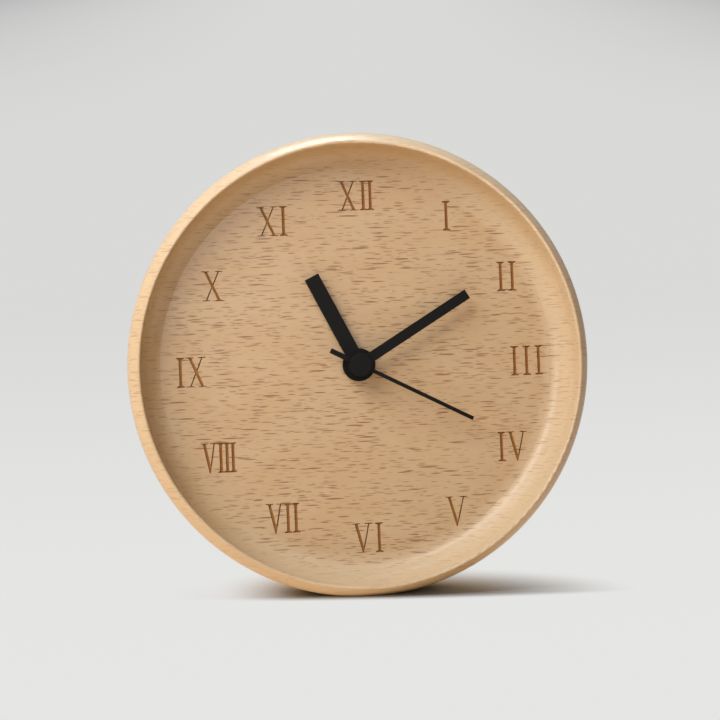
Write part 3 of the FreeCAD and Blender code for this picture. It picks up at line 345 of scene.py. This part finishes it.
class DESKCLOCK_PG_movement(bpy.types.PropertyGroup):
    """Finishes of the movement"""

    shell: colour_property("Shell", "Moulded plastic of the housings", (0.02, 0.02, 0.022, 1.0))
    acetal: colour_property("Acetal", "Natural plastic of the wheels", (0.80, 0.77, 0.68, 1.0))
    plate: colour_property("Plate", "Natural plastic of the middle plate", (0.74, 0.72, 0.66, 1.0))
    iron: colour_property("Iron", "Stamped stator and core", (0.46, 0.47, 0.49, 1.0))
    ferrite: colour_property("Ferrite", "Pressed magnet", (0.035, 0.034, 0.036, 1.0))
    bobbin: colour_property("Bobbin", "Moulded plastic of the bobbin", (0.55, 0.10, 0.06, 1.0))
    resin: colour_property("Resin", "Drop of resin over the chip", (0.012, 0.012, 0.013, 1.0))
    jacket: colour_property("Cell Jacket", "Printed jacket of the cell", (0.06, 0.13, 0.17, 1.0))
    band: colour_property("Cell Band", "Band beside the cell's positive end", (0.70, 0.70, 0.68, 1.0))
    scuff: colour_property("Scuffed Print", "Worn print of the cell", (0.5, 0.5, 0.5, 1.0))
    laminate: colour_property("Laminate", "Lacquered circuit board", (0.02, 0.13, 0.07, 1.0))
    track: colour_property("Track", "Copper under the lacquer", (0.10, 0.26, 0.10, 1.0))
    weave: colour_property("Weave", "Glass cloth in the laminate", (0.2, 0.3, 0.2, 1.0))
    steel: colour_property("Steel", "Bare and zinc-plated steel", (0.56, 0.56, 0.55, 1.0))
    nickel: colour_property("Nickel", "Plated contacts and can", (0.62, 0.59, 0.53, 1.0))
    brass: colour_property("Brass", "Turned brass", (0.72, 0.52, 0.22, 1.0))
    bronze: colour_property("Bronze", "Spring sheet", (0.66, 0.40, 0.20, 1.0))
    copper: colour_property("Copper", "Enamelled wire", (0.70, 0.26, 0.12, 1.0))


class DESKCLOCK_PG_stage(bpy.types.PropertyGroup):
    """Floor, lamps and camera"""

    floor: colour_property("Floor", "Colour of the pale floor", (0.80, 0.80, 0.785, 1.0))
    speck: colour_property("Floor Speck", "Faint specks in the floor", (0.70, 0.70, 0.69, 1.0))
    near_floor: colour_property("Near Floor", "What the camera sees near by", (0.79, 0.79, 0.775, 1.0))
    far_floor: colour_property("Far Floor", "What the camera sees far behind", (0.50, 0.50, 0.50, 1.0))
    # Shadow is a painted tint that darkens the lit floor round the foot
    shadow: colour_property("Shadow", "Tint of the floor round the foot", (0.7, 0.78, 0.9, 1.0))
    bounce: colour_property("Bounce", "Light that the floor gives back", (1.0, 0.74, 0.47, 1.0))
    backdrop: colour_property("Backdrop", "What the camera sees over the floor", (0.50, 0.50, 0.49, 1.0))
    floor_radius: length_property("Floor Radius", "Half width of the floor", 9.0)
    key_power: power_property("Key Power", "Lamp at the upper left", 6.5)
    key_size: length_property("Key Size", "Width of the key lamp", 0.50)
    sheen_power: power_property("Sheen Power", "Lamp seen in the lacquer", 1.9)
    sheen_size: length_property("Sheen Size", "Width of the sheen lamp", 0.40)
    rim_power: power_property("Rim Power", "Lamp behind the top", 3.3)
    rim_size: length_property("Rim Size", "Width of the rim lamp", 0.34)
    rim_colour: colour_property("Rim Colour", "Colour of the rim lamp", (0.74, 0.87, 1.0, 1.0))
    floor_power: power_property("Floor Power", "Lamp over the floor", 7.9)
    floor_size: length_property("Floor Lamp Size", "Width of the lamp over the floor", 0.41)
    sky_colour: colour_property("Sky Colour", "Colour of the even light all round", (1.0, 0.60, 0.30, 1.0))
    sky: bpy.props.FloatProperty(
        name="Sky", description="Strength of the even light all round", min=0.0, default=0.14
    )
    camera_place: bpy.props.FloatVectorProperty(
        name="Camera", description="Place of the camera", subtype="TRANSLATION", unit="LENGTH",
        default=(-0.0883, -0.6442, 0.1704)
    )
    camera_yaw: angle_property("Yaw", "Turn of the camera to the right", 7.985)
    camera_pitch: angle_property("Pitch", "Tilt of the camera upward", -9.892)
    camera_roll: angle_property("Roll", "Turn of the camera about its view", -0.815)
    focal_length: bpy.props.FloatProperty(
        name="Focal Length", description="Lens in millimetres", unit="CAMERA", min=1.0, default=124.65
    )


def dress(material, *names):
    """Give CAD nodes a finish."""
    for name in names:
        for slot in frame["nodes"][name].material_slots:
            slot.material = material


def ray_flecks(finish, wood, sizes, cell, shift=(0.0, 0.0, 0.0)):
    """Spindle-shaped beech rays, one in most cells of a stretched pattern."""
    length, height, depth = sizes
    grid = finish.stretched(wood, [1.0 / side for side in cell], shift)
    values = {"Vector": grid, "Scale": 1.0, "Randomness": 1.0}
    nearest = finish.node("TexVoronoi", {"feature": "F1"}, values, "Position")
    chance = finish.node("TexVoronoi", {"feature": "F1"}, values, "Color")
    gap = finish.node("VectorMath", {"operation": "SUBTRACT"}, {0: grid, 1: nearest})
    along, across, inward = [part * side for part, side in zip(finish.parts(gap), cell)]
    luck, bulk, tone = finish.parts(chance)
    reach = length / 2 * (0.4 + bulk * 0.75)
    half = height / 2 * (0.75 + bulk * 0.5)
    taper = 1.0 - (along / reach) ** 2.0 - (inward / (depth / 2)) ** 2.0
    spindle = taper - abs(across) / half
    return spindle.rise(-0.05, 0.2) * luck.rise(0.05, 0.15) * (0.35 + tone * 0.65)


def beech_rays(finish, wood, colours):
    """Long rays with short ones between them."""
    sizes = [
        side / MILLIMETRE for side in (colours.fleck_length, colours.fleck_height, colours.fleck_depth)
    ]
    short_sizes = [side * share for side, share in zip(sizes, SHORT_RAY_SHARES)]
    long_rays = ray_flecks(finish, wood, sizes, LONG_RAY_CELL)
    short_rays = ray_flecks(finish, wood, short_sizes, SHORT_RAY_CELL, SHORT_RAY_SHIFT)
    return (long_rays + short_rays * 0.75).clamped()


def grain_place(finish, place):
    """Coordinates whose grain wanders a little up and down the dial."""
    right, up, front = finish.parts(place)
    drift = finish.noise(finish.stretched(place, DRIFT_WAVES), detail=1.0)
    bent_up = up + (drift - 0.5) * 0.4 + right * 0.008
    return finish.node("CombineXYZ", {}, {0: right, 1: bent_up, 2: front})


def burnt_and_shaded_numerals(finish, place, facing, colours):
    """Scorched walls of the engraving, with painted shade that makes them darkest where they face right,
    away from the key lamp.
    """
    char = finish.noise(finish.stretched(place, CHAR_WAVES))
    flank_shade = finish.parts(facing)[0].rise(-0.35, 0.35)
    return finish.blend((flank_shade * 0.7 + char * 0.5 - 0.05).clamped(), colours.scorched, colours.burnt)


def beech_finish(colours):
    """Sanded beech with ray flecks, pores and burnt numerals, a paler rim that is partly painted sheen, and
    painted shade on the upper left wall and on the numerals' right-facing walls.
    """
    finish = Finish("beech")
    place = finish.clock_place()
    right, up, front = finish.parts(place)
    facing = finish.node("TexCoord", {}, {}, "Normal")
    inset = case_radius - (right * right + up * up) ** 0.5
    below = 0.0 - front
    wood = grain_place(finish, place)
    band = finish.noise(finish.stretched(wood, BAND_WAVES), detail=3.0)
    patch = finish.noise(finish.stretched(wood, PATCH_WAVES, PATCH_SHIFT), detail=1.0)
    pores = finish.noise(finish.stretched(wood, PORE_WAVES), roughness=0.6)
    fibre = finish.noise(finish.stretched(wood, FIBRE_WAVES))

    base = finish.blend(patch.rise(0.3, 0.7) * 0.6, colours.pale, colours.warm)
    # Painted sheen and shade: the cove and lip take the paler rim tone, partly a painted sheen, except on
    # the upper left wall, which keeps the warmer tone as painted shade
    painted_shade_side = inset.rise(*CREST) * (up * 0.6 - right).rise(*SHADED_SIDE_REACH)
    base = finish.blend(inset.rise(*RIM_TONE_AND_SHEEN) * (1.0 - painted_shade_side), base, colours.rim)
    toned = finish.shaded(base, 0.95 + band * 0.1 + (fibre - 0.5) * 0.2 + (pores - 0.5) * 0.16)
    upward = finish.node("VectorMath", {"operation": "DOT_PRODUCT"}, {0: facing, 1: up_direction}, "Value")
    fewer = (1.0 - abs(upward) * 0.65) * (1.0 - inset.rise(*FEWER_RAYS) * 0.5)
    rays = beech_rays(finish, wood, colours) * fewer
    flecked = finish.blend(rays * 0.85, toned, colours.fleck)

    ring = inset.rise(*NUMERALS_OUTSIDE) * inset.rise(*NUMERALS_INSIDE)
    sunk = below.rise(*NUMERAL_CUT) * below.rise(*BELOW_NUMERALS) * ring
    coat = colours.coat - sunk * colours.coat - inset.rise(*LIP_FLANK) * 0.5
    return finish.surface({
        "Base Color": finish.blend(sunk, flecked, burnt_and_shaded_numerals(finish, place, facing, colours)),
        "Roughness": colours.roughness + rays * 0.08 + (pores - 0.5) * 0.1 + sunk * 0.3,
        "Normal": finish.bump(pores * 0.6 + fibre * 0.4 - rays * 0.5, 14 * MICRON),
        "Coat Weight": coat,
        "Coat Roughness": 0.22,
    })


def lacquer_finish(colours):
    """Matt black lacquer on pressed sheet."""
    finish = Finish("hand_black")
    place = finish.clock_place()
    orange_peel = finish.noise(place, scale=5.0)
    dust = finish.noise(place, scale=1.3, detail=3.0)
    return finish.surface({
        "Base Color": finish.blend(dust.rise(0.45, 0.75) * 0.25, colours.lacquer, colours.dusty),
        "Roughness": colours.roughness + (dust - 0.5) * 0.1,
        "Normal": finish.bump(orange_peel, 2 * MICRON, finish.soft_edges(colours.edge_radius)),
        "Specular IOR Level": 0.12,
    })


def moulded_finish(name, colour, roughness, grain, depth, glow=0.0):
    """Moulded plastic with a fine grain and edges that catch the light."""
    finish = Finish(name)
    place = finish.clock_place()
    texture = finish.noise(place, scale=grain, roughness=0.6)
    cloud = finish.noise(place, scale=0.12)
    paler = [min(1.0, part * 1.35 + 0.004) for part in colour[:3]] + [1.0]
    values = {
        "Base Color": finish.blend(cloud.rise(0.3, 0.7) * 0.5 + texture * 0.2, colour, paler),
        "Roughness": roughness + (texture - 0.5) * 0.16 + (cloud - 0.5) * 0.08,
        "Normal": finish.bump(texture, depth, finish.soft_edges(MOULDED_EDGE)),
    }
    if glow:
        values["Subsurface Weight"] = glow
        values["Subsurface Radius"] = (1.0, 0.8, 0.6)
        values["Subsurface Scale"] = 0.4 * MILLIMETRE
    return finish.surface(values)


def metal_finish(name, colour, roughness, streak):
    """Metal with drawn or turned streaks and slight stains."""
    finish = Finish(name)
    place = finish.clock_place()
    lines = finish.noise(finish.stretched(place, streak), detail=3.0, roughness=0.6)
    stain = finish.noise(place, scale=0.5, detail=3.0)
    darker = [part * 0.72 for part in colour[:3]] + [1.0]
    return finish.surface({
        "Base Color": finish.blend(stain.rise(0.4, 0.75) * 0.5 + lines * 0.25, colour, darker),
        "Roughness": roughness + (lines - 0.5) * 0.18 + stain.rise(0.45, 0.8) * 0.1,
        "Normal": finish.bump(lines, 2 * MICRON, finish.soft_edges(METAL_EDGE)),
        "Metallic": 1.0,
    })


def jacket_finish(colours):
    """Printed jacket of the cell, with a band, a thin line and bare plated ends."""
    finish = Finish("cell_jacket")
    place = finish.clock_place()
    right = finish.parts(place)[0]
    from_left = right - cell_low.x / MILLIMETRE
    from_right = cell_high.x / MILLIMETRE - right
    jacket_start = from_left.rise(JACKET_START - PRINT_EDGE, JACKET_START)
    sleeve = jacket_start * from_right.rise(JACKET_END - PRINT_EDGE, JACKET_END)
    band = from_right.rise(BAND_WIDTH + PRINT_EDGE, BAND_WIDTH)
    line_start = from_right.rise(LINE_START - PRINT_EDGE, LINE_START)
    line = line_start * from_right.rise(LINE_END + PRINT_EDGE, LINE_END)
    scuff = finish.noise(finish.stretched(place, SCUFF_WAVES), detail=4.0, roughness=0.6)
    printed = finish.blend(band, colours.jacket, colours.band)
    lined = finish.blend(line * 0.85, printed, colours.band)
    worn = finish.blend(scuff.rise(0.6, 0.8) * 0.16, lined, colours.scuff)
    return finish.surface({
        "Base Color": finish.blend(sleeve, colours.nickel, worn),
        "Roughness": 0.30 + scuff * 0.14 - sleeve * 0.04,
        "Metallic": 1.0 - sleeve * 0.75,
        "Normal": finish.bump(finish.noise(place, scale=6.0), 1.5 * MICRON),
    })


def winding_finish(colours):
    """Enamelled wire wound side by side along the bobbin, with painted shade in the grooves between turns.
    """
    finish = Finish("copper_wire")
    place = finish.clock_place()
    right = finish.parts(place)[0]
    turn = right.math("SINE", right * (2.0 * math.pi / WIRE_PITCH)) * 0.5 + 0.5
    layer = finish.noise(finish.stretched(place, WIRE_LAYER_WAVES))
    # Painted shade: the copper darkens toward the grooves between the turns
    crown = turn * 0.8 + layer * 0.2
    darker = [part * 0.35 for part in colours.copper[:3]] + [1.0]
    return finish.surface({
        "Base Color": finish.blend(crown, darker, colours.copper),
        "Roughness": 0.28 + layer * 0.15,
        "Metallic": 1.0,
        "Normal": finish.bump(crown, 50 * MICRON),
        "Coat Weight": 0.6,
    })


def board_finish(colours):
    """Lacquered laminate with copper tracks under the lacquer."""
    finish = Finish("board_laminate")
    place = finish.clock_place()
    weave = finish.node("TexBrick", {}, {"Vector": place, "Scale": 2.4, "Mortar Size": 0.04}, 1)
    tracks = finish.noise(finish.stretched(place, TRACK_WAVES, TRACK_SHIFT), detail=0.0)
    lines = tracks.math("PINGPONG", tracks * 14.0, 1.0).rise(0.6, 0.7)
    copper = finish.blend(lines * 0.55, colours.laminate, colours.track)
    return finish.surface({
        "Base Color": finish.blend(weave * 0.1, copper, colours.weave),
        "Roughness": 0.3 + weave * 0.1,
        "Normal": finish.bump(lines + weave * 0.1, 20 * MICRON),
        "Coat Weight": 0.4,
    })


class DESKCLOCK_OT_case(bpy.types.Operator):
    """Finish the turned case"""

    bl_idname = "desk_clock.case"
    bl_label = "Finish Case"

    def execute(self, context):
        dress(beech_finish(context.scene.desk_clock_case), "wooden_case")
        return {"FINISHED"}


class DESKCLOCK_OT_hands(bpy.types.Operator):
    """Finish the hands and the cap over their hub"""

    bl_idname = "desk_clock.hands"
    bl_label = "Finish Hands"

    def execute(self, context):
        black = lacquer_finish(context.scene.desk_clock_hands)
        dress(black, "hour_hand", "minute_hand", "second_hand", "hub_cap")
        return {"FINISHED"}


class DESKCLOCK_OT_housing(bpy.types.Operator):
    """Finish the housings, the setting knob and the mounting screws"""

    bl_idname = "desk_clock.housing"
    bl_label = "Finish Housing"

    def execute(self, context):
        colours = context.scene.desk_clock_movement
        shell = moulded_finish("shell_plastic", colours.shell, roughness=0.46, grain=6.0, depth=6 * MICRON)
        knob = moulded_finish("knob_plastic", colours.shell, roughness=0.38, grain=9.0, depth=3 * MICRON)
        screw = metal_finish("screw_steel", colours.steel, roughness=0.32, streak=(0.6, 0.6, 4.0))
        dress(shell, "movement_front_housing", "movement_rear_housing")
        dress(knob, "setting_knob")
        dress(screw, "mounting_screws")
        return {"FINISHED"}


class DESKCLOCK_OT_train(bpy.types.Operator):
    """Finish the middle plate, the wheels and their arbors"""

    bl_idname = "desk_clock.train"
    bl_label = "Finish Train"

    def execute(self, context):
        colours = context.scene.desk_clock_movement
        acetal = moulded_finish(
            "wheel_plastic", colours.acetal, roughness=0.34, grain=4.0, depth=2 * MICRON, glow=0.2
        )
        plate = moulded_finish(
            "plate_plastic", colours.plate, roughness=0.42, grain=7.0, depth=4 * MICRON, glow=0.15
        )
        steel = metal_finish("arbor_steel", colours.steel, roughness=0.2, streak=(3.0, 3.0, 0.4))
        brass = metal_finish("pipe_brass", colours.brass, roughness=0.24, streak=(0.5, 0.5, 6.0))
        bronze = metal_finish("spring_bronze", colours.bronze, roughness=0.3, streak=(5.0, 0.5, 0.5))
        wheels = ["second_wheel", "third_wheel", "intermediate_wheel", "centre_wheel", "reverse_wheel"]
        dress(acetal, "hour_wheel", "rotor_pinion", *wheels)
        dress(plate, "middle_plate")
        dress(steel, "second_arbor")
        dress(brass, "minute_pipe")
        dress(bronze, "clutch_spring")
        return {"FINISHED"}


class DESKCLOCK_OT_motor(bpy.types.Operator):
    """Finish the stepping motor"""

    bl_idname = "desk_clock.motor"
    bl_label = "Finish Motor"

    def execute(self, context):
        colours = context.scene.desk_clock_movement
        iron = metal_finish("core_steel", colours.iron, roughness=0.4, streak=(0.5, 5.0, 0.5))
        ferrite = moulded_finish("magnet", colours.ferrite, roughness=0.5, grain=5.0, depth=8 * MICRON)
        bobbin = moulded_finish("bobbin_plastic", colours.bobbin, roughness=0.4, grain=5.0, depth=3 * MICRON)
        dress(iron, "stator", "coil_core")
        dress(ferrite, "rotor_magnet")
        dress(bobbin, "coil_bobbin")
        dress(winding_finish(colours), "coil_winding")
        return {"FINISHED"}


class DESKCLOCK_OT_circuit(bpy.types.Operator):
    """Finish the circuit board, what it carries and the contacts"""

    bl_idname = "desk_clock.circuit"
    bl_label = "Finish Circuit"

    def execute(self, context):
        colours = context.scene.desk_clock_movement
        resin = moulded_finish("chip_resin", colours.resin, roughness=0.16, grain=1.2, depth=20 * MICRON)
        can = metal_finish("crystal_can", colours.nickel, roughness=0.22, streak=(0.4, 3.0, 3.0))
        contact = metal_finish("contact_nickel", colours.nickel, roughness=0.28, streak=(0.4, 4.0, 0.4))
        dress(board_finish(colours), "circuit_board")
        dress(resin, "control_chip")
        dress(can, "quartz_crystal")
        dress(contact, "positive_contact", "negative_contact")
        return {"FINISHED"}


class DESKCLOCK_OT_cell(bpy.types.Operator):
    """Finish the battery cell"""

    bl_idname = "desk_clock.cell"
    bl_label = "Finish Cell"

    def execute(self, context):
        dress(jacket_finish(context.scene.desk_clock_movement), "battery_cell")
        return {"FINISHED"}


def shadow_distance(right, back):
    """Distance from the foot, stretched so that the shadow reaches furthest to the sides."""
    shift = right - SHADOW_RIGHT
    gap = back - SHADOW_FRONT + shift * SHADOW_SLANT
    wide = shift.math("MAXIMUM", shift * WEIGHT_RIGHT, shift * WEIGHT_LEFT)
    deep = gap.math("MAXIMUM", gap, gap * WEIGHT_FRONT)
    return (wide * wide + deep * deep) ** 0.5


def plain_floor(finish, settings, right, back):
    """Floor with painted shade that darkens it slowly behind the clock and more in the far corners."""
    aside = right - back * CORNER_SLANT
    far = back.rise(*FLOOR_BEHIND) * 0.315 + aside * aside * back.rise(*FLOOR_CORNERS) * 0.92
    return finish.blend(far.clamped(), settings.near_floor, settings.far_floor)


def floor_finish(settings):
    """Pale floor that keeps the object's shadow near by, adds a painted shadow to its colour round the foot,
    and goes plain far away.
    """
    finish = Finish("pale_floor")
    place = finish.node("TexCoord", {}, {}, "Object")
    right, back = finish.parts(place)[:2]
    distance = shadow_distance(right, back)
    tone = finish.blend(finish.noise(place, scale=180.0) * 0.06, settings.floor, settings.speck)
    # Painted shadow: the lit floor's colour is tinted and darkened toward the foot, on top of the lamps'
    # shadow
    shadow_tinted = finish.blend(1.0, tone, settings.shadow, "MULTIPLY")
    shaded = finish.shaded(shadow_tinted, 0.3 + distance.rise(0.0, PAINTED_SHADOW_REACH) * 0.7)
    lit = finish.node("BsdfPrincipled", {}, {"Base Color": shaded, "Roughness": 0.7})
    diffuse = finish.node("LightPath", {}, {}, "Is Diffuse Ray")
    bounce = finish.shaded(settings.bounce, 1.6 - right.rise(*BOUNCE_FALL))
    shown = finish.blend(diffuse, plain_floor(finish, settings, right, back), bounce)
    plain = finish.node("Emission", {}, {"Color": shown})
    seen = finish.looked_at() * distance.rise(*SHADOW_REACH) + diffuse * distance.rise(*DARK_REACH)
    finish.close(finish.node("MixShader", {}, {0: seen, 1: lit, 2: plain}))
    return finish.material


def add_floor(settings):
    """Lay the floor as one wide disc."""
    mesh = bpy.data.meshes.new("floor")
    disc = bmesh.new()
    bmesh.ops.create_circle(disc, cap_ends=True, segments=96, radius=settings.floor_radius)
    disc.to_mesh(mesh)
    disc.free()
    floor = bpy.data.objects.new("floor", mesh)
    bpy.context.scene.collection.objects.link(floor)
    mesh.materials.append(floor_finish(settings))
    return floor


def add_lamp(name, direction, size, power, lit):
    """Aim one square lamp at the clock, to light the objects of one collection."""
    light = bpy.data.lights.new(name, "AREA")
    light.size = size
    light.energy = power
    lamp = bpy.data.objects.new(name, light)
    bpy.context.scene.collection.objects.link(lamp)
    aim = Vector(direction).normalized()
    lamp.location = dial_centre + aim * LAMP_DISTANCE
    lamp.rotation_euler = aim.to_track_quat("Z", "Y").to_euler()
    lamp.light_linking.receiver_collection = lit
    return lamp


def add_lamps(settings, clock, ground):
    """Light the clock with three lamps and the floor with one."""
    key = add_lamp("key", KEY_DIRECTION, settings.key_size, settings.key_power, clock)
    key.visible_glossy = False
    sheen = add_lamp("sheen", SHEEN_DIRECTION, settings.sheen_size, settings.sheen_power, clock)
    sheen.visible_diffuse = False
    rim = add_lamp("rim", RIM_DIRECTION, settings.rim_size, settings.rim_power, clock)
    rim.data.color = settings.rim_colour[:3]
    add_lamp("floor_lamp", FLOOR_LAMP_DIRECTION, settings.floor_size, settings.floor_power, ground)


def gather(name, objects):
    """Put objects in a collection of their own for the lamps."""
    collection = bpy.data.collections.new(name)
    for piece in objects:
        collection.objects.link(piece)
    return collection


def add_camera(settings):
    """Set the camera where the photograph was taken."""
    data = bpy.data.cameras.new("camera")
    data.lens = settings.focal_length
    data.sensor_width = 36.0
    data.clip_start = 0.01
    camera = bpy.data.objects.new("camera", data)
    bpy.context.scene.collection.objects.link(camera)
    turn = Matrix.Rotation(-settings.camera_yaw, 4, "Z")
    tilt = Matrix.Rotation(math.pi / 2 + settings.camera_pitch, 4, "X")
    roll = Matrix.Rotation(settings.camera_roll, 4, "Z")
    camera.matrix_world = Matrix.Translation(settings.camera_place) @ turn @ tilt @ roll
    bpy.context.scene.camera = camera


def add_sky(settings):
    """Light the scene evenly from all round, behind a plain grey backdrop."""
    world = bpy.data.worlds.new("sky")
    world.use_nodes = True
    sky = Nodes(world.node_tree)
    light = sky.node("Background", {}, {"Color": settings.sky_colour, "Strength": settings.sky})
    backdrop = sky.node("Background", {}, {"Color": settings.backdrop})
    sky.close(sky.node("MixShader", {}, {0: sky.looked_at(), 1: light, 2: backdrop}), "OutputWorld")
    bpy.context.scene.world = world


class DESKCLOCK_OT_stage(bpy.types.Operator):
    """Set the floor, the lamps and the camera"""

    bl_idname = "desk_clock.stage"
    bl_label = "Set Stage"

    def execute(self, context):
        settings = context.scene.desk_clock_stage
        ground = gather("ground", [add_floor(settings)])
        clock = gather("clock", frame["nodes"].values())
        add_lamps(settings, clock, ground)
        add_sky(settings)
        add_camera(settings)
        context.scene.view_settings.view_transform = "Standard"
        return {"FINISHED"}


class DESKCLOCK_PT_sidebar(bpy.types.Panel):
    """Lists the clock's finishes and its stage"""

    bl_idname = "DESKCLOCK_PT_sidebar"
    bl_label = "Desk Clock"
    bl_space_type = "VIEW_3D"
    bl_region_type = "UI"
    bl_category = "Desk Clock"

    def draw(self, context):
        for operator in OPERATORS:
            self.layout.operator(operator.bl_idname)


GROUPS = {
    "desk_clock_case": DESKCLOCK_PG_case,
    "desk_clock_hands": DESKCLOCK_PG_hands,
    "desk_clock_movement": DESKCLOCK_PG_movement,
    "desk_clock_stage": DESKCLOCK_PG_stage,
}
OPERATORS = [
    DESKCLOCK_OT_case,
    DESKCLOCK_OT_hands,
    DESKCLOCK_OT_housing,
    DESKCLOCK_OT_train,
    DESKCLOCK_OT_motor,
    DESKCLOCK_OT_circuit,
    DESKCLOCK_OT_cell,
    DESKCLOCK_OT_stage,
]


def register():
    """Add the classes and the settings to Blender."""
    for group in [*GROUPS.values(), *OPERATORS, DESKCLOCK_PT_sidebar]:
        bpy.utils.register_class(group)
    for name, group in GROUPS.items():
        setattr(bpy.types.Scene, name, bpy.props.PointerProperty(type=group))


def unregister():
    """Take the classes and the settings out again."""
    for name in GROUPS:
        delattr(bpy.types.Scene, name)
    for group in [DESKCLOCK_PT_sidebar, *reversed(OPERATORS), *reversed(GROUPS.values())]:
        bpy.utils.unregister_class(group)


def main():
    """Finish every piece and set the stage."""
    register()
    bpy.ops.desk_clock.case()
    bpy.ops.desk_clock.hands()
    bpy.ops.desk_clock.housing()
    bpy.ops.desk_clock.train()
    bpy.ops.desk_clock.motor()
    bpy.ops.desk_clock.circuit()
    bpy.ops.desk_clock.cell()
    bpy.ops.desk_clock.stage()


if __name__ == "__main__":
    main()
